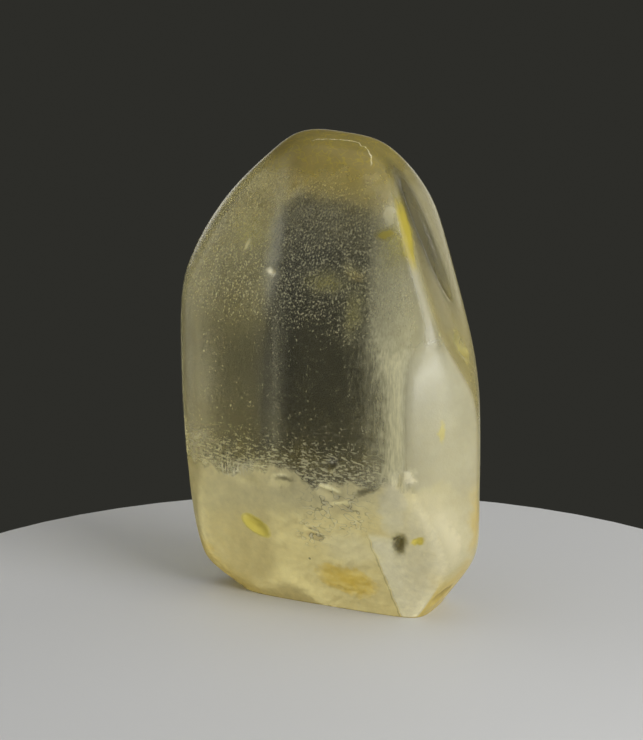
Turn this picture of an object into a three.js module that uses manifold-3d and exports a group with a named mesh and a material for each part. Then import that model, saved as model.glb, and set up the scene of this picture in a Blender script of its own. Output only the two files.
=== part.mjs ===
// A raw topaz: one water-worn prismatic crystal standing on its cleaved base.
// Millimetres, +Z up. The front is -Y. The origin is under the middle of the crystal, on the base.
//
// The crystal is worked out as a real one is described: a list of faces, each with the way it turns,
// the way it tilts and how far it lies from the middle. Wear in the river has rounded every edge, so
// the skin is a soft blend of those planes. A fresh break and the flat cleaved base cut the blend off
// sharply, and a worn groove, pits and crescent marks are hollowed out of it.

import * as THREE from 'three';
import { mergeVertices } from 'three/addons/utils/BufferGeometryUtils.js';
import Module from 'manifold-3d';

const DEGREE = Math.PI / 180;

// The middle of the crystal, on the upright line that turns are counted around.
const MIDDLE = new THREE.Vector3(0, 0, 17);

// How tightly wear has left the edges: an edge stands about a third of a millimetre under its planes.
const EDGE_SHARPNESS = 2.4;

// Faces of the prism and of both ends. turn is the compass angle of the outward side, from the front
// (-Y) towards +X, tilt is how far it looks up, and reach is its distance from the middle.
const FACES = [
  { name: 'front left prism face', turn: -33, tilt: 0, reach: 4.9 },
  { name: 'front right prism face', turn: 23, tilt: 0, reach: 9.9 },
  { name: 'front edge', turn: -20, tilt: 0, reach: 6.35 },
  { name: 'right prism face', turn: 42, tilt: 0, reach: 11.2 },
  { name: 'right side', turn: 90, tilt: 0, reach: 10.62 },
  { name: 'back right side', turn: 117, tilt: 0, reach: 8.6 },
  { name: 'back right prism face', turn: 147, tilt: 0, reach: 8.2 },
  { name: 'back left prism face', turn: 203, tilt: 0, reach: 9.7 },
  { name: 'left side', turn: 265, tilt: 0, reach: 11.3 },
  { name: 'left prism face', turn: -63, tilt: 0, reach: 8.5 },
  { name: 'front dome', turn: -33, tilt: 21, reach: 5.9 },
  { name: 'front right dome', turn: -5, tilt: 23, reach: 8.3 },
  { name: 'front cap', turn: -15, tilt: 50, reach: 12.8 },
  { name: 'right dome', turn: 72, tilt: 24.5, reach: 10.75 },
  { name: 'right cap', turn: 80, tilt: 50, reach: 15.05 },
  { name: 'left dome', turn: -78, tilt: 28, reach: 11.45 },
  { name: 'left cap', turn: -80, tilt: 47, reach: 13.75 },
  { name: 'back right dome', turn: 147, tilt: 27, reach: 12 },
  { name: 'back left dome', turn: 203, tilt: 26, reach: 13 },
  { name: 'top', turn: 0, tilt: 88, reach: 16.95 },
  { name: 'left lower side', turn: -95, tilt: -8, reach: 11.75 },
  { name: 'left underside', turn: -80, tilt: -54, reach: 17.05 },
  { name: 'front left underside', turn: -30, tilt: -26.5, reach: 7.81 },
  { name: 'front lower corner', turn: -18, tilt: -24.6, reach: 8.5 },
  { name: 'front right underside', turn: 30, tilt: -35, reach: 15 },
  { name: 'right underside', turn: 70, tilt: -40, reach: 16.5 },
  { name: 'back underside', turn: 180, tilt: -35, reach: 17 },
];

// Fresh breaks, which are flat and sharp-edged. They are given as faces are.
const BREAKS = [{ name: 'top break', turn: 74, tilt: 68, reach: 16.5 }];

// Hollows in the skin. turn is the way to a hollow from the upright line through the middle, and
// lean is the angle of its long side from straight up, clockwise as seen from outside.
const HOLLOWS = [
  { name: 'worn groove', turn: 74.5, height: 27.6, length: 9.4, width: 2.2, depth: 0.5, lean: 4 },
  { name: 'stained notch', turn: 62.5, height: 20.6, length: 2, width: 1.3, depth: 0.35, lean: -25 },
  { name: 'side nick', turn: 75, height: 11.5, length: 0.8, width: 3, depth: 0.25, lean: 0 },
  { name: 'spiked pit', turn: 30, height: 11.8, length: 1.1, width: 0.8, depth: 0.3, lean: 0 },
  { name: 'dark pit', turn: 37.5, height: 6.6, length: 1, width: 0.7, depth: 0.5, lean: 10 },
  { name: 'corner scratch', turn: 42, height: 6.8, length: 0.9, width: 0.4, depth: 0.2, lean: 60 },
  { name: 'yellow pit', turn: -82.4, height: 6.2, length: 2.1, width: 1.2, depth: 0.3, lean: -50 },
  { name: 'foot chip', turn: 66.5, height: 1.75, length: 2.2, width: 1.5, depth: 0.4, lean: 0 },
  { name: 'crevice', turn: 0, height: 12, length: 0.9, width: 0.5, depth: 0.3, lean: 50 },
  { name: 'crescent mark', turn: 6, height: 9, length: 0.7, width: 2, depth: 0.15, lean: -10 },
  { name: 'lower crescent mark', turn: -22, height: 6.3, length: 1, width: 1.6, depth: 0.15, lean: 20 },
  { name: 'shoulder pit', turn: -75, height: 25.1, length: 0.7, width: 0.6, depth: 0.2, lean: 0 },
  { name: 'left ledge chip', turn: -75, height: 10.1, length: 0.8, width: 2.4, depth: 0.2, lean: 8 },
  { name: 'middle ledge chip', turn: -46, height: 10.4, length: 0.9, width: 2, depth: 0.2, lean: -10 },
  { name: 'right ledge chip', turn: -2, height: 10, length: 0.9, width: 2.4, depth: 0.22, lean: 12 },
  { name: 'back pit', turn: 150, height: 22.5, length: 1.6, width: 1.1, depth: 0.3, lean: 20 },
  { name: 'back scar', turn: 196, height: 9, length: 1.2, width: 2.4, depth: 0.35, lean: -15 },
  { name: 'back right pit', turn: 118, height: 13, length: 1.1, width: 0.8, depth: 0.25, lean: 0 },
  { name: 'back left pit', turn: 230, height: 17, length: 1.3, width: 0.8, depth: 0.25, lean: 30 },
];

function outwardSide({ turn, tilt }) {
  const level = Math.cos(tilt * DEGREE);
  return new THREE.Vector3(
    level * Math.sin(turn * DEGREE),
    -level * Math.cos(turn * DEGREE),
    Math.sin(tilt * DEGREE),
  );
}

const FACE_PLANES = FACES.map((face) => ({ side: outwardSide(face), reach: face.reach }));
const BREAK_PLANES = BREAKS.map((flat) => ({ side: outwardSide(flat), reach: flat.reach }));

function distancesFrom(planes, point) {
  const offset = point.clone().sub(MIDDLE);
  return planes.map(({ side, reach }) => side.dot(offset) - reach);
}

// How far a point lies outside the worn skin, in millimetres: the soft maximum of its distances from
// all the faces. It is below zero inside.
function outsideWorn(point) {
  const distances = distancesFrom(FACE_PLANES, point);
  const furthest = Math.max(...distances);
  const total = distances.reduce((sum, d) => sum + Math.exp(EDGE_SHARPNESS * (d - furthest)), 0);
  return furthest + Math.log(total) / EDGE_SHARPNESS;
}

// The same for the broken crystal, whose breaks stay sharp.
function outsideBroken(point) {
  return Math.max(outsideWorn(point), ...distancesFrom(BREAK_PLANES, point));
}

// The point where a straight line from inside leaves the crystal, by halving the stretch between
// inside and out. LINE_REACH is further than any part of the crystal.
const LINE_REACH = 40;
const HALVINGS = 30;

function leavingPoint(start, way, outsideOf) {
  let inside = 0;
  let outside = LINE_REACH;
  for (let halving = 0; halving < HALVINGS; halving += 1) {
    const half = (inside + outside) / 2;
    if (outsideOf(start.clone().addScaledVector(way, half)) < 0) {
      inside = half;
    } else {
      outside = half;
    }
  }
  return start.clone().addScaledVector(way, inside);
}

// A closed geometry that holds positions alone, each of them once.
function closedSkin(geometry) {
  geometry.deleteAttribute('normal');
  geometry.deleteAttribute('uv');
  return mergeVertices(geometry, 1e-5);
}

// The worn crystal's skin: a finely divided ball whose points are pushed out to the faces. The ball
// is stretched first, so that its triangles come out even on the tall crystal.
const SKIN_DETAIL = 15;
const BALL_STRETCH = new THREE.Vector3(10, 8, 17);

function wornSkin() {
  const skin = closedSkin(new THREE.IcosahedronGeometry(1, SKIN_DETAIL));
  const points = skin.getAttribute('position');
  const way = new THREE.Vector3();
  for (let index = 0; index < points.count; index += 1) {
    way.fromBufferAttribute(points, index).multiply(BALL_STRETCH).normalize();
    const point = leavingPoint(MIDDLE, way, outsideWorn);
    points.setXYZ(index, point.x, point.y, point.z);
  }
  return skin;
}

const wasm = await Module();
wasm.setup();

function solidOf(geometry) {
  return new wasm.Manifold(
    new wasm.Mesh({
      numProp: 3,
      vertProperties: new Float32Array(geometry.getAttribute('position').array),
      triVerts: new Uint32Array(geometry.getIndex().array),
    }),
  );
}

function geometryOf(solid) {
  const mesh = solid.getMesh();
  const geometry = new THREE.BufferGeometry();
  geometry.setAttribute('position', new THREE.BufferAttribute(mesh.vertProperties, 3));
  geometry.setIndex(new THREE.BufferAttribute(mesh.triVerts, 1));
  geometry.computeVertexNormals();
  return geometry;
}

// A block wider than the crystal, whose near side lies on a plane and which holds all beyond it.
const BLOCK_WIDTH = 60;
const BLOCK_DEPTH = 20;

function allBeyond(side, reach, from) {
  const block = new THREE.BoxGeometry(BLOCK_WIDTH, BLOCK_WIDTH, BLOCK_DEPTH);
  block.translate(0, 0, reach + BLOCK_DEPTH / 2);
  const up = new THREE.Vector3(0, 0, 1);
  block.applyQuaternion(new THREE.Quaternion().setFromUnitVectors(up, side));
  block.translate(from.x, from.y, from.z);
  return solidOf(closedSkin(block));
}

// The cleavage that the crystal stands on: everything below Z = 0 has split off.
function cleavedAway() {
  return allBeyond(new THREE.Vector3(0, 0, -1), 0, new THREE.Vector3());
}

function brokenAway({ side, reach }) {
  return allBeyond(side, reach, MIDDLE);
}

// The outward side of the crystal at a point on it, from how the skin falls away around it.
const SLOPE_STEP = 0.02;

function outwardAt(point) {
  const slope = ['x', 'y', 'z'].map((axis) => {
    const ahead = point.clone();
    const behind = point.clone();
    ahead[axis] += SLOPE_STEP;
    behind[axis] -= SLOPE_STEP;
    return outsideBroken(ahead) - outsideBroken(behind);
  });
  return new THREE.Vector3(...slope).normalize();
}

// A hollow is cut by a ball that is squashed and stretched to its size. The middle of the ball is
// held half its height above the skin, so that the hollow has a slanting rim.
const BALL_LIFT = 0.5;
const RIM_SHARE = Math.sqrt(1 - BALL_LIFT ** 2);

function hollowedOut({ turn, height, length, width, depth, lean }) {
  const onAxis = new THREE.Vector3(0, 0, height);
  const middle = leavingPoint(onAxis, outwardSide({ turn, tilt: 0 }), outsideBroken);
  const outward = outwardAt(middle);
  const across = new THREE.Vector3(0, 0, 1).cross(outward).normalize();
  const up = outward.clone().cross(across);
  const along = up.applyAxisAngle(outward, -lean * DEGREE);
  const beside = along.clone().cross(outward);
  const ballHeight = depth / (1 - BALL_LIFT);
  const ball = new THREE.SphereGeometry(1, 14, 10);
  ball.scale(width / 2 / RIM_SHARE, length / 2 / RIM_SHARE, ballHeight);
  const place = new THREE.Matrix4().makeBasis(beside, along, outward);
  place.setPosition(middle.addScaledVector(outward, ballHeight * BALL_LIFT));
  return solidOf(closedSkin(ball.applyMatrix4(place)));
}

function topazCrystal() {
  const cuts = [cleavedAway(), ...BREAK_PLANES.map(brokenAway), ...HOLLOWS.map(hollowedOut)];
  return cuts.reduce((crystal, cut) => crystal.subtract(cut), solidOf(wornSkin()));
}

// Puts the middle of the crystal's own box over the origin.
function overOrigin(geometry) {
  geometry.computeBoundingBox();
  const middle = geometry.boundingBox.getCenter(new THREE.Vector3());
  return geometry.translate(-middle.x, -middle.y, 0);
}

const topaz = new THREE.Mesh(
  overOrigin(geometryOf(topazCrystal())),
  new THREE.MeshStandardMaterial({ color: 0xd8cf98, roughness: 0.35, metalness: 0 }),
);
topaz.name = 'topaz_crystal';

const part = new THREE.Group();
part.add(topaz);

export default part;
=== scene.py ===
import math

import bpy
import numpy as np
from mathutils import Matrix, Vector, noise


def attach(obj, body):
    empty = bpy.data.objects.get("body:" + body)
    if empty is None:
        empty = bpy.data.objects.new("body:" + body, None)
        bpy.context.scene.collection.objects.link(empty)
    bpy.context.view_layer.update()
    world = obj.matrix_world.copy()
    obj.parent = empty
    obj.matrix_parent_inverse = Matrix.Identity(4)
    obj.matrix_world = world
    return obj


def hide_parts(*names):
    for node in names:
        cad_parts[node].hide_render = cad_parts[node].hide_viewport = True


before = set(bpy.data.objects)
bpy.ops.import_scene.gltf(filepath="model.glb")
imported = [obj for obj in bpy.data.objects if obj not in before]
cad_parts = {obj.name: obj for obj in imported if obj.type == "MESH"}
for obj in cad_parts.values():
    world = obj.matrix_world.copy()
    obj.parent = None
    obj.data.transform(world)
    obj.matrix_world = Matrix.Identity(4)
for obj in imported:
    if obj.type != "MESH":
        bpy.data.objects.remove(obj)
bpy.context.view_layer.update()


# The crystal. It is one water-worn topaz, clear and pale yellow. It grew as a prism with sloping faces
# at its top end, a river rounded every edge and frosted the skin, and it split flat across its length
# along its cleavage, which it stands on. All places here are in millimetres from the crystal's own axis.
MIDDLE = np.array([0, 0, 17.0])
AXIS_FROM_ORIGIN = np.array([0.142, -0.857, 0])
EDGE_SHARPNESS = 2.4
BREAK_SHARPNESS = 14

# Each face by the way it turns from the front, how far it looks up, and its distance from the middle.
FACES = {
    "front left prism face": (-33, 0, 4.9),
    "front right prism face": (23, 0, 9.9),
    "front edge": (-20, 0, 6.35),
    "right prism face": (42, 0, 11.2),
    "right side": (90, 0, 10.62),
    "back right side": (117, 0, 8.6),
    "back right prism face": (147, 0, 8.2),
    "back left prism face": (203, 0, 9.7),
    "left side": (265, 0, 11.3),
    "left prism face": (-63, 0, 8.5),
    "front dome": (-33, 21, 5.9),
    "front right dome": (-5, 23, 8.3),
    "front cap": (-15, 50, 12.8),
    "right dome": (72, 24.5, 10.75),
    "right cap": (80, 50, 15.05),
    "left dome": (-78, 28, 11.45),
    "left cap": (-80, 47, 13.75),
    "back right dome": (147, 27, 12),
    "back left dome": (203, 26, 13),
    "top": (0, 88, 16.95),
    "left lower side": (-95, -8, 11.75),
    "left underside": (-80, -54, 17.05),
    "front left underside": (-30, -26.5, 7.81),
    "front lower corner": (-18, -24.6, 8.5),
    "front right underside": (30, -35, 15),
    "right underside": (70, -40, 16.5),
    "back underside": (180, -35, 17),
}

# Fresh breaks, which are flat and sharp-edged. They are given as faces are.
BREAKS = {"top break": (74, 68, 16.5)}

# Hollows by turn, height, length, width, depth, and the lean of the long side from straight up.
HOLLOWS = {
    "worn groove": (74.5, 27.6, 9.4, 2.2, 0.5, 4),
    "stained notch": (62.5, 20.6, 2, 1.3, 0.35, -25),
    "side nick": (75, 11.5, 0.8, 3, 0.25, 0),
    "spiked pit": (30, 11.8, 1.1, 0.8, 0.3, 0),
    "dark pit": (37.5, 6.6, 1, 0.7, 0.5, 10),
    "corner scratch": (42, 6.8, 0.9, 0.4, 0.2, 60),
    "yellow pit": (-82.4, 6.2, 2.1, 1.2, 0.3, -50),
    "foot chip": (66.5, 1.75, 2.2, 1.5, 0.4, 0),
    "crevice": (0, 12, 0.9, 0.5, 0.3, 50),
    "crescent mark": (6, 9, 0.7, 2, 0.15, -10),
    "lower crescent mark": (-22, 6.3, 1, 1.6, 0.15, 20),
    "shoulder pit": (-75, 25.1, 0.7, 0.6, 0.2, 0),
    "left ledge chip": (-75, 10.1, 0.8, 2.4, 0.2, 8),
    "middle ledge chip": (-46, 10.4, 0.9, 2, 0.2, -10),
    "right ledge chip": (-2, 10, 0.9, 2.4, 0.22, 12),
    "back pit": (150, 22.5, 1.6, 1.1, 0.3, 20),
    "back scar": (196, 9, 1.2, 2.4, 0.35, -15),
    "back right pit": (118, 13, 1.1, 0.8, 0.25, 0),
    "back left pit": (230, 17, 1.3, 0.8, 0.25, 30),
}


def outward_side(turn, tilt=0):
    level = math.cos(math.radians(tilt))
    across = level * math.sin(math.radians(turn))
    return np.array([across, -level * math.cos(math.radians(turn)), math.sin(math.radians(tilt))])


def soft_maximum(distances, sharpness):
    furthest = distances.max(axis=-1, keepdims=True)
    total = np.exp(sharpness * (distances - furthest)).sum(axis=-1)
    return furthest[..., 0] + np.log(total) / sharpness


def distances_from(planes, points):
    sides = np.array([outward_side(turn, tilt) for turn, tilt, reach in planes.values()])
    reaches = np.array([reach for turn, tilt, reach in planes.values()])
    return (points - MIDDLE) @ sides.T - reaches


# How far points lie outside the worn and broken skin. It is below zero inside.
def outside_crystal(points):
    worn = soft_maximum(distances_from(FACES, points), EDGE_SHARPNESS)
    broken = distances_from(BREAKS, points)
    return soft_maximum(np.concatenate([worn[..., None], broken], axis=-1), BREAK_SHARPNESS)


def leaving_points(starts, ways):
    inside = np.zeros(len(ways))
    outside = np.full(len(ways), 40.0)
    for halving in range(26):
        half = (inside + outside) / 2
        within = outside_crystal(starts + ways * half[:, None]) < 0
        inside = np.where(within, half, inside)
        outside = np.where(within, outside, half)
    return starts + ways * inside[:, None]


def outward_at(points):
    step = 0.02
    slopes = [outside_crystal(points + way) - outside_crystal(points - way) for way in np.eye(3) * step]
    slope = np.stack(slopes, axis=-1)
    return slope / np.linalg.norm(slope, axis=-1, keepdims=True)


# The skin starts as the outside of a box of small cells. Each corner of a cell is pushed out from the
# middle to where the crystal ends, and the bottom row lands on the rim of the cleaved base.
CELLS = np.array([104, 92, 176])
BOX_HALF = np.array([10, 8.8, 17.0])


def cell_quads():
    quads = []
    for axis in range(3):
        beside, along = (axis + 1) % 3, (axis + 2) % 3
        first, second = np.meshgrid(np.arange(CELLS[beside]), np.arange(CELLS[along]), indexing="ij")
        for end, order in ((0, (0, 3, 2, 1)), (1, (0, 1, 2, 3))):
            corners = np.zeros((first.size, 4, 3), int)
            corners[:, :, axis] = end * CELLS[axis]
            for corner, (over, up) in enumerate(((0, 0), (1, 0), (1, 1), (0, 1))):
                corners[:, corner, beside] = first.ravel() + over
                corners[:, corner, along] = second.ravel() + up
            quads.append(corners[:, order])
    return np.concatenate(quads)


def crystal_points(corners):
    share = corners / CELLS * 2 - 1
    flat = share[:, :2] * BOX_HALF[:2]
    spread = np.abs(share[:, :2]).max(axis=1)
    across = np.linalg.norm(flat, axis=1)
    ways = np.zeros_like(share)
    ways[:, :2] = flat / np.maximum(across, 1e-9)[:, None]
    rim = np.linalg.norm(leaving_points(np.zeros_like(share), ways), axis=1)
    risen = (share[:, 2] + 1) / 2
    on_wall = (spread > 1 - 1e-9) & (corners[:, 2] < CELLS[2])
    reach = np.where(on_wall, rim + (across - rim) * risen, across)
    slant = np.concatenate([ways[:, :2] * reach[:, None], share[:, 2:] * BOX_HALF[2]], axis=1)
    slant /= np.linalg.norm(slant, axis=1, keepdims=True)
    points = leaving_points(MIDDLE, slant)
    on_base = corners[:, 2] == 0
    points[on_base] = (ways * (rim * spread)[:, None])[on_base]
    return points, on_base


def hollow_frame(turn, height, lean):
    middle = leaving_points(np.array([[0, 0, height]]), outward_side(turn)[None])[0]
    outward = outward_at(middle[None])[0]
    across = np.cross([0, 0, 1], outward)
    across /= np.linalg.norm(across)
    up = np.cross(outward, across)
    along = up * math.cos(math.radians(lean)) + across * math.sin(math.radians(lean))
    return middle, np.cross(along, outward), along, outward


def hollow_depths(points):
    depths = np.zeros(len(points))
    for turn, height, length, width, depth, lean in HOLLOWS.values():
        middle, beside, along, outward = hollow_frame(turn, height, lean)
        offset = points - middle
        share = np.hypot(offset @ beside / (width / 2), offset @ along / (length / 2))
        bowl = 2 * depth * (np.sqrt(np.maximum(1 - 0.75 * share**2, 0.25)) - 0.5)
        depths += np.where(np.abs(offset @ outward) < 2, bowl, 0)
    return depths


def waves(points, length):
    return np.array([noise.noise(Vector(point)) for point in points / length])


# The lowest quarter is torn rough below a ragged ledge. 1 is torn and 0 is whole skin.
LEDGE_HEIGHT = 10.9
LEDGE_WANDER = 1.0
TORN_RELIEF = 0.05
SKIN_RELIEF = 0.03


def torn_share(points, sides):
    ledge = LEDGE_HEIGHT + LEDGE_WANDER * waves(points, 2.2) + 0.6 * waves(points, 0.8)
    right_looking = np.clip((sides @ outward_side(60) - 0.55) / 0.35, 0, 1)
    return np.clip((ledge - points[:, 2]) / 0.25, 0, 1) * (1 - 0.8 * right_looking)


def crystal_mesh():
    quads = cell_quads()
    numbers = (quads[..., 0] * 1000 + quads[..., 1]) * 1000 + quads[..., 2]
    known, places = np.unique(numbers, return_inverse=True)
    corners = np.stack([known // 1000000, known // 1000 % 1000, known % 1000], axis=1)
    points, on_base = crystal_points(corners)
    sides = outward_at(points)
    sides[on_base] = (0, 0, -1)
    torn = np.where(on_base, 0, torn_share(points, sides))
    depths = hollow_depths(points) + SKIN_RELIEF * (0.65 + 0.5 * waves(points, 3.5))
    depths += TORN_RELIEF * torn * (0.6 + 0.4 * waves(points, 0.9) + 0.3 * waves(points, 0.45))
    points = points - sides * np.where(on_base, 0, depths)[:, None]
    mesh = bpy.data.meshes.new("topaz_skin")
    mesh.from_pydata(((points + AXIS_FROM_ORIGIN) / 1000).tolist(), [], places.reshape(-1, 4).tolist())
    mesh.polygons.foreach_set("use_smooth", [True] * len(mesh.polygons))
    mesh.attributes.new("outward", "FLOAT_VECTOR", "POINT").data.foreach_set("vector", sides.ravel())
    mesh.attributes.new("torn", "FLOAT", "POINT").data.foreach_set("value", torn)
    return mesh


topaz = bpy.data.objects.new("topaz", crystal_mesh())
bpy.context.scene.collection.objects.link(topaz)


# The topaz material. Clear crystal bends light strongly and takes a little of the blue out of it. The
# river has frosted its skin with fine pits, iron has stained hollows and cracks yellow, and the lowest
# quarter is torn rougher and shows creamy. Lengths in the material are in millimetres.
class Link:
    """A socket of a material. Arithmetic on it adds the Math node that does it."""

    tree = None

    def __init__(self, socket):
        self.socket = socket

    @classmethod
    def node(cls, kind, settings, sockets, output=0):
        made = cls.tree.nodes.new(kind)
        for name, value in settings.items():
            setattr(made, name, value)
        for name, value in sockets.items():
            if isinstance(value, Link):
                cls.tree.links.new(value.socket, made.inputs[name])
            else:
                made.inputs[name].default_value = value
        return cls(made.outputs[output] if made.outputs else None)

    def math(self, operation, first, second):
        return self.node("ShaderNodeMath", {"operation": operation}, {0: first, 1: second})

    def __add__(self, other):
        return self.math("ADD", self, other)

    def __radd__(self, other):
        return self.math("ADD", other, self)

    def __sub__(self, other):
        return self.math("SUBTRACT", self, other)

    def __rsub__(self, other):
        return self.math("SUBTRACT", other, self)

    def __mul__(self, other):
        return self.math("MULTIPLY", self, other)

    def __rmul__(self, other):
        return self.math("MULTIPLY", other, self)

    def larger(self, other):
        return self.math("MAXIMUM", self, other)

    def distance(self, other):
        return self.math("ABSOLUTE", self - other, 0.0)

    def rising(self, low, high):
        """0 where this is low or less, 1 where it is high or more, and smooth between."""
        ends = {"Value": self, "From Min": low, "From Max": high}
        return self.node("ShaderNodeMapRange", {"interpolation_type": "SMOOTHSTEP"}, ends)


material = bpy.data.materials.new("worn_topaz")
material.use_nodes = True
Link.tree = material.node_tree
Link.tree.nodes.clear()


def on_vectors(operation, first, second, output="Vector"):
    return Link.node("ShaderNodeVectorMath", {"operation": operation}, {0: first, 1: second}, output)


def scaled(vector, amount):
    return Link.node("ShaderNodeVectorMath", {"operation": "SCALE"}, {0: vector, "Scale": amount})


def noise_of(where, scale, detail, output="Fac"):
    sockets = {"Vector": where, "Scale": scale, "Detail": detail, "Roughness": 0.6}
    return Link.node("ShaderNodeTexNoise", {}, sockets, output)


def mixed(factor, first, second):
    settings = {"data_type": "RGBA"}
    return Link.node("ShaderNodeMix", settings, {0: factor, 6: first, 7: second}, 2)


from_axis = tuple(-AXIS_FROM_ORIGIN)
place = scaled(Link.node("ShaderNodeTexCoord", {}, {}, "Object"), 1000)
place = on_vectors("ADD", place, from_axis)
across = Link.node("ShaderNodeSeparateXYZ", {}, {0: place}, "X")
height = Link.node("ShaderNodeSeparateXYZ", {}, {0: place}, "Z")
outward = Link.node("ShaderNodeAttribute", {"attribute_name": "outward"}, {}, "Vector")
torn = Link.node("ShaderNodeAttribute", {"attribute_name": "torn"}, {}, "Fac")
drift = on_vectors("SUBTRACT", noise_of(place, 1.1, 4, "Color"), (0.5, 0.5, 0.5))
patchy = noise_of(place, 0.45, 3)
blotchy = noise_of(place, 1.6, 4)
grain = noise_of(on_vectors("MULTIPLY", place, (1, 1, 0.8)), 7.5, 3)
rice = noise_of(on_vectors("MULTIPLY", place, (2.3, 2.3, 7)), 1, 2)
streaks = noise_of(on_vectors("MULTIPLY", place, (7, 7, 1.1)), 1, 3)
tears = noise_of(on_vectors("MULTIPLY", place, (1, 1, 1.5)), 1.3, 1)


def looking(turn, tilt):
    """The cosine of the angle between the way the skin looks and a side."""
    return on_vectors("DOT_PRODUCT", outward, tuple(outward_side(turn, tilt)), "Value")


# Marks are given by strength, turn, height, length, width and lean. Their edges stray by a length, and
# fade over a share of their width.
MARK_DEPTH = 1.5


def marked(stray, edge, *marks):
    where = on_vectors("ADD", place, scaled(drift, stray))
    strongest = None
    for strength, turn, rise, length, width, lean in marks:
        middle, beside, along, away = hollow_frame(turn, rise, lean)
        settings = {
            "Vector": where,
            "Location": tuple(middle),
            "Rotation": tuple(Matrix((beside, along, away)).transposed().to_euler()),
            "Scale": (width / 2, length / 2, MARK_DEPTH),
        }
        local = Link.node("ShaderNodeMapping", {"vector_type": "TEXTURE"}, settings)
        share = Link.node("ShaderNodeVectorMath", {"operation": "LENGTH"}, {0: local}, "Value")
        mark = strength * share.rising(1 + edge / 2, 1 - edge / 2)
        strongest = mark if strongest is None else strongest.larger(mark)
    return strongest


# Where the skin looks. The right half is worn smooth, the front edge between it and the window is streaked,
# and the domes are rough. Little frosting lies on the back, or it would veil the window.
rightward = looking(60, 0)
domed = (height + 4 * patchy).rising(22.0, 25.5)
smooth = (rightward + 0.1 * streaks).rising(0.33, 0.62) * (1 - 0.5 * domed)
right_part = (rightward + 0.12 * blotchy + 0.12 * streaks).rising(0.09, 0.32)
front_edge = right_part * rightward.rising(0.75, 0.3)
right_ridge = looking(28, 18).rising(0.915, 0.965) * domed
left_band = looking(-75, 0).rising(0.8, 0.93)
# The left of the front left prism face, where the coat is darkened as painted shade.
left_painted_shade = looking(-33, 0).rising(0.93, 0.99) * across.rising(-4.0, -5.5)
right_flank = looking(74, 24).rising(0.86, 0.96)
shoulder = looking(62, 56).rising(0.86, 0.97)
near_ledge = height.rising(17, 11) * (1 - smooth)
front_side = looking(180, 0).rising(0.55, 0.1)

# Light and dark grains of frosting. The dark grain also lays painted shade, a nearly black coat, over the
# left of the front.
bright_grain = (grain + 0.09 * domed + 0.05 * near_ledge + 0.2 * blotchy).rising(0.71, 0.82)
bright_grain = 0.43 * bright_grain * (1 - smooth)
rice_grain = 0.6 * (rice + 0.13 * near_ledge * near_ledge).rising(0.63, 0.7) * near_ledge
dark_grain_and_shade = grain.rising(0.48, 0.36) * (0.15 + 0.42 * domed + 0.25 * near_ledge + 0.5 * left_painted_shade)
dark_grain_and_shade = dark_grain_and_shade.larger(0.28 * left_painted_shade) * (1 - right_part.larger(torn))
edge_streaks = front_edge * (0.5 + 0.2 * streaks.rising(0.3, 0.7)) * (1 - 0.5 * domed)

# Stains from iron. Khaki lies thick over the top and thins down the domes. The ridge between the domes
# on the right gets a darker coat, painted shade that dims its highlight.
thick_khaki = 0.72 * (height + 3 * patchy).rising(30.8, 35.2)
thin_khaki = 0.34 * (height + 4 * patchy).rising(26, 33.5)
khaki = thick_khaki.larger(thin_khaki)
khaki = khaki.larger(0.3 * left_band * (0.5 + patchy))
khaki = khaki.larger(0.45 * right_flank).larger(0.55 * shoulder)
khaki = khaki * (0.85 + 0.3 * blotchy)
# Painted shade on the ridge between the right domes.
painted_ridge_shade = right_ridge * (0.6 + 0.2 * blotchy)
scribbled = 0.3 * (height + 2 * blotchy).rising(31, 33) * tears.distance(0.5).rising(0.035, 0.01)
ochre = marked(0.7, 1.3, (0.75, 52.8, 28.7, 4.8, 1.1, 14), (0.5, 41.5, 28.5, 0.8, 1.5, 0))
ochre = ochre.larger(scribbled)
lemon = marked(0.4, 0.4, (0.9, -82.4, 6.2, 2.4, 1.65, -50))
lemon = lemon.larger(marked(0.9, 1.2, (0.8, 41.6, 6.8, 1.0, 0.6, 60), (0.35, 46.7, 15, 1.6, 0.5, 0)))
olive = (0.3 + 1.1 * grain) * marked(
    1.5,
    2.0,
    (0.4, -100, 27.4, 3.2, 3.4, 0),
    (0.45, 46, 28.2, 4.4, 2.2, 10),
    (0.4, -6, 24.9, 1.6, 3.6, 0),
    (0.36, 15.5, 23.2, 3.6, 1.4, 0),
    (0.5, 62.5, 20.6, 2.4, 1.6, -25),
)
amber = marked(
    1.6,
    1.6,
    (0.8, 25, 2.6, 2.5, 4.4, 8),
    (0.4, -112, 2.6, 4.5, 2.4, 0),
    (0.3, 62, 7.5, 6, 1.4, 0),
)
amber = amber.larger(0.4 * looking(0, -80).rising(0.35, 0.75))

# Bruised white patches, a painted highlight streak, and hollows darkened with painted shade.
bruised_white_and_highlight = marked(
    1.6,
    1.2,
    (0.6, 31, 9.2, 4.6, 2.2, 8),
    (0.4, 47, 29.7, 1.6, 1.0, 0),
    (0.7, 33, 11.9, 1.4, 1.2, 0),
    (0.3, 17, 5.5, 3.4, 4.6, 0),
    (0.55, 47, 6.5, 9, 7, 0),
)
bruised_white_and_highlight = bruised_white_and_highlight.larger(marked(0.6, 1.5, (0.9, -75.7, 25.1, 0.4, 0.8, 0), (0.8, -97, 26.6, 0.9, 0.35, 20)))
bruised_white_and_highlight = bruised_white_and_highlight.larger(streaks.rising(0.5, 0.6) * marked(0.5, 1.2, (0.8, -80, 10.6, 1.3, 2.6, 0)))
# Pale grey streaks on the left are painted highlight, standing in for light caught along rounded edges.
painted_streak_highlight = marked(0.8, 1.6, (0.36, -84, 26.8, 10, 1.5, -5), (0.2, -57, 17.5, 14, 2.2, 0))
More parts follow.
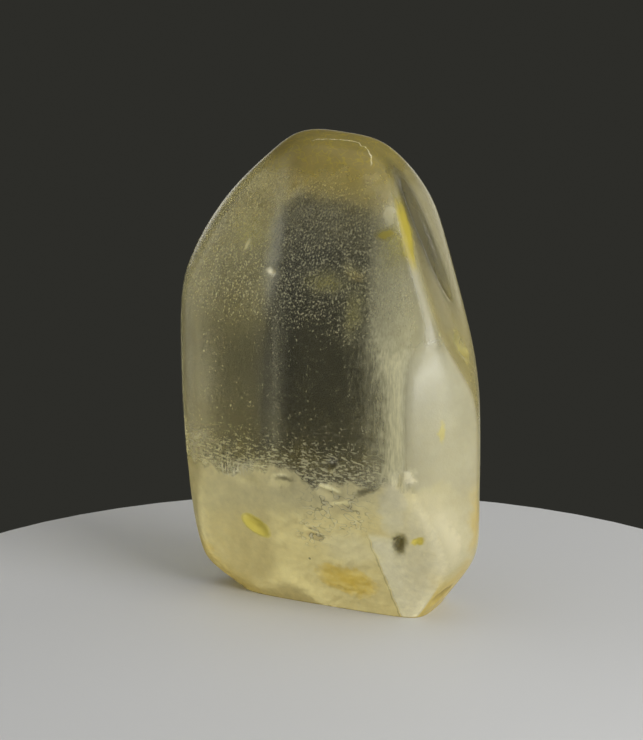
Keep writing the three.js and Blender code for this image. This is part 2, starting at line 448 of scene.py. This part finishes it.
# Painted shade darkens the dark pit, the crevice, the worn groove, the foot chip and small nicks by the
# ledge.
painted_shade = marked(0.9, 1.9, (0.8, 38.1, 6.4, 1.7, 0.9, 10), (0.8, -0.3, 12, 0.9, 0.6, 50))
painted_shade = painted_shade.larger(marked(0.9, 1.8, (0.45, 19.4, 10.5, 0.5, 2, -25), (0.4, -45, 10.5, 0.3, 1.8, 0)))
painted_shade = painted_shade.larger(marked(0.2, 0.8, (0.9, -43.9, 4.0, 0.2, 0.2, 0)))
painted_shade = painted_shade.larger(marked(0.5, 1.3, (0.8, 75.0, 28.1, 10.5, 2.8, 4), (0.4, 67, 1.9, 1.9, 1.1, 0)))

# Fine curved tears below the ledge, each drawn as a line of painted shade with a line of painted highlight
# beside it.
tearing = torn * (1 - smooth) * marked(2.0, 1.6, (1, 4, 8.6, 4.6, 5.5, 0), (1, -22, 6.3, 2.4, 3, 0))
painted_shade = painted_shade.larger(0.4 * tearing * tears.distance(0.52).rising(0.03, 0.01))
bruised_white_and_highlight = bruised_white_and_highlight.larger(0.5 * tearing * tears.distance(0.56).rising(0.03, 0.01))

# A healed crack near the top, and a wedge of torn crystal at the foot which one straight crack bounds.
CRACK_MIDDLE = (1.3, 1.0, 33.8)
CRACK_CENTRE = (-0.6, -1.3, 0)
CRACK_RADIUS = 3.4
WEDGE_APEX = (2.67, -5.14, 6.42)
WEDGE_SIDE = (0.86, -0.49, 0.135)

seen_from_above = on_vectors("MULTIPLY", on_vectors("ADD", place, scaled(drift, 0.9)), (1, 1, 0))
from_centre = on_vectors("DISTANCE", seen_from_above, CRACK_CENTRE, "Value")
near_crack = on_vectors("DISTANCE", place, CRACK_MIDDLE, "Value").rising(3.1, 2.6)
crack = from_centre.distance(CRACK_RADIUS).rising(0.05, 0.015) * near_crack
bruised_white_and_highlight = bruised_white_and_highlight.larger(crack * blotchy.rising(0.3, 0.5))
from_apex = on_vectors("SUBTRACT", on_vectors("ADD", place, scaled(drift, 0.6)), WEDGE_APEX)
past_wedge = on_vectors("DOT_PRODUCT", from_apex, WEDGE_SIDE, "Value")
at_foot = height.rising(7.4, 6.2) * looking(-15, -25).rising(0.75, 0.9)
wedge = at_foot * past_wedge.rising(0.0, 0.2) * (0.35 + 0.5 * past_wedge.rising(4.5, 1.0))
bruised_white_and_highlight = bruised_white_and_highlight.larger(wedge * (0.6 + 0.8 * blotchy))
# Painted shade runs along the crack that bounds the wedge.
painted_shade = painted_shade.larger(0.3 * at_foot * past_wedge.distance(-0.05).rising(0.1, 0.02))

# The coat is what covers the clear crystal, and how thick it lies.
CREAM = (0.93, 0.88, 0.55, 1)
SMOOTH_CREAM = (0.7, 0.67, 0.48, 1)
TORN_CREAM = (1.0, 0.9, 0.5, 1)
NEARLY_BLACK = (0.04, 0.04, 0.025, 1)
pale = bright_grain.larger(rice_grain).larger(edge_streaks)
frosted = pale.larger(dark_grain_and_shade)
frosted = frosted.larger(0.45 * smooth * (0.75 + 0.5 * patchy))
frosted = frosted.larger(torn * (0.5 + 0.35 * blotchy))
coat_colour = mixed(smooth, CREAM, SMOOTH_CREAM)
# Where the dark grain or the painted shade on the left wins, the coat is nearly black.
coat_colour = mixed((dark_grain_and_shade - pale).rising(0.0, 0.02), coat_colour, NEARLY_BLACK)
coat_colour = mixed(torn, coat_colour, TORN_CREAM)
# Stains, bruises, painted shade and painted highlight, each laid over the coat by its mask.
stains_and_painted_light = (
    (painted_ridge_shade, (0.43, 0.4, 0.24, 1)),
    (khaki, (0.31, 0.25, 0.07, 1)),
    (painted_streak_highlight, (0.78, 0.78, 0.66, 1)),
    (amber, (0.95, 0.65, 0.06, 1)),
    (bruised_white_and_highlight, (1.0, 0.94, 0.66, 1)),
    (olive, (0.7, 0.62, 0.14, 1)),
    (lemon, (0.98, 0.82, 0.13, 1)),
    (ochre, (0.55, 0.44, 0.03, 1)),
    (painted_shade, (0.08, 0.07, 0.03, 1)),
)
for stain_or_light, colour in stains_and_painted_light:
    coat_colour = mixed(stain_or_light.rising(0.0, 0.6), coat_colour, colour)
    frosted = frosted.larger(stain_or_light)
frosted = frosted * (0.25 + 0.75 * front_side)

# The clear crystal and the coat share the fine relief of the skin. The crystal's own yellow is a little
# absorption inside it, and its skin is tinted more where it is torn.
RELIEF_METRES = 0.00002
CLEAR = (1, 0.985, 0.93, 1)
TORN_CLEAR = (1, 0.93, 0.5, 1)

rough_relief = 0.3 * rice + 0.3 * torn * blotchy + 0.6 * wedge * blotchy
skin_relief = 0.6 * grain + (1 - smooth) * rough_relief
skin = Link.node("ShaderNodeBump", {}, {"Height": skin_relief, "Distance": RELIEF_METRES, "Strength": 1.0})

crystal = Link.node(
    "ShaderNodeBsdfPrincipled",
    {},
    {
        "Base Color": mixed(torn, CLEAR, TORN_CLEAR),
        "Roughness": 0.12 + 0.08 * torn.larger(smooth),
        "IOR": 1.62,
        "Transmission Weight": 1.0,
        "Normal": skin,
    },
)
coat = Link.node(
    "ShaderNodeBsdfPrincipled",
    {},
    {
        "Base Color": coat_colour,
        "Roughness": 0.7,
        "IOR": 1.5,
        "Specular IOR Level": 0.15,
        "Transmission Weight": 0.3,
        "Normal": skin,
    },
)
surface = Link.node("ShaderNodeMixShader", {}, {0: frosted, 1: crystal, 2: coat})
tint = Link.node("ShaderNodeVolumeAbsorption", {}, {"Color": (0.9, 0.84, 0.2, 1), "Density": 22.0})
Link.node("ShaderNodeOutputMaterial", {}, {"Surface": surface, "Volume": tint})
topaz.data.materials.append(material)

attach(topaz, "root")
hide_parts("topaz_crystal")


# The stage is a plain round floor in pale matt grey, twice as wide as the stone is tall, in dim even light.
# It is no wider, because the clear window in the stone looks past its far edge. Lengths are in metres.
FLOOR_RADIUS = 0.034
FLOOR_CORNERS = 64

turns = [corner / FLOOR_CORNERS * math.tau for corner in range(FLOOR_CORNERS)]
floor_rim = [(FLOOR_RADIUS * math.cos(turn), FLOOR_RADIUS * math.sin(turn), 0) for turn in turns]
floor_mesh = bpy.data.meshes.new("floor")
floor_mesh.from_pydata(floor_rim, [], [list(range(FLOOR_CORNERS))])
floor = bpy.data.objects.new("floor", floor_mesh)
floor.location = (0, -0.006, -0.00002)
bpy.context.scene.collection.objects.link(floor)
floor_material = bpy.data.materials.new("pale_floor")
floor_material.use_nodes = True
floor_finish = floor_material.node_tree.nodes["Principled BSDF"].inputs
floor_finish["Base Color"].default_value = (0.62, 0.62, 0.61, 1)
floor_finish["Roughness"].default_value = 0.6
floor_mesh.materials.append(floor_material)

studio = bpy.data.worlds.new("studio")
studio.use_nodes = True
studio_light = studio.node_tree.nodes["Background"].inputs
studio_light["Color"].default_value = (0.026, 0.026, 0.022, 1)
studio_light["Strength"].default_value = 1.0
bpy.context.scene.world = studio


# Soft lights, each by where it stands as seen from the stone's middle, its distance and size in
# millimetres, and its power in watts. The ones at the sides and the back light the crystal through.
STONE_MIDDLE = Vector((0, 0, 0.017))


def softbox(name, turn, tilt, distance, width, height, power):
    light = bpy.data.lights.new(name, "AREA")
    light.shape = "RECTANGLE"
    light.size = width / 1000
    light.size_y = height / 1000
    light.energy = power
    box = bpy.data.objects.new(name, light)
    away = Vector(outward_side(turn, tilt))
    box.location = away * distance / 1000 + STONE_MIDDLE
    box.rotation_euler = away.to_track_quat("Z", "Y").to_euler()
    box.visible_camera = False
    bpy.context.scene.collection.objects.link(box)


softbox("left_softbox", -102, 12, 150, 180, 230, 0.052)
softbox("right_softbox", 84, 6, 150, 198, 230, 0.066)
softbox("top_softbox", 0, 80, 200, 300, 300, 0.2)
softbox("back_softbox", 175, 3.5, 150, 200, 29, 0.019)
softbox("low_softbox", 40, -5, 100, 70, 20, 0.03)
softbox("key_softbox", 42, 25, 250, 160, 160, 0.5)

# The camera stands in front and looks down on the stone by 15 degrees, through a long lens.
CAMERA_AIM = Vector((-0.00056, 0, 0.01733))
CAMERA_TILT = 15
CAMERA_DISTANCE = 0.4

camera_data = bpy.data.cameras.new("camera")
camera_data.lens = 272.4
camera_data.clip_start = 0.01
camera = bpy.data.objects.new("camera", camera_data)
camera_side = Vector(outward_side(0, CAMERA_TILT))
camera.location = CAMERA_AIM + camera_side * CAMERA_DISTANCE
camera.rotation_euler = camera_side.to_track_quat("Z", "Y").to_euler()
bpy.context.scene.collection.objects.link(camera)
bpy.context.scene.camera = camera
bpy.context.scene.view_settings.view_transform = "Standard"
bpy.context.scene.cycles.use_denoising = True
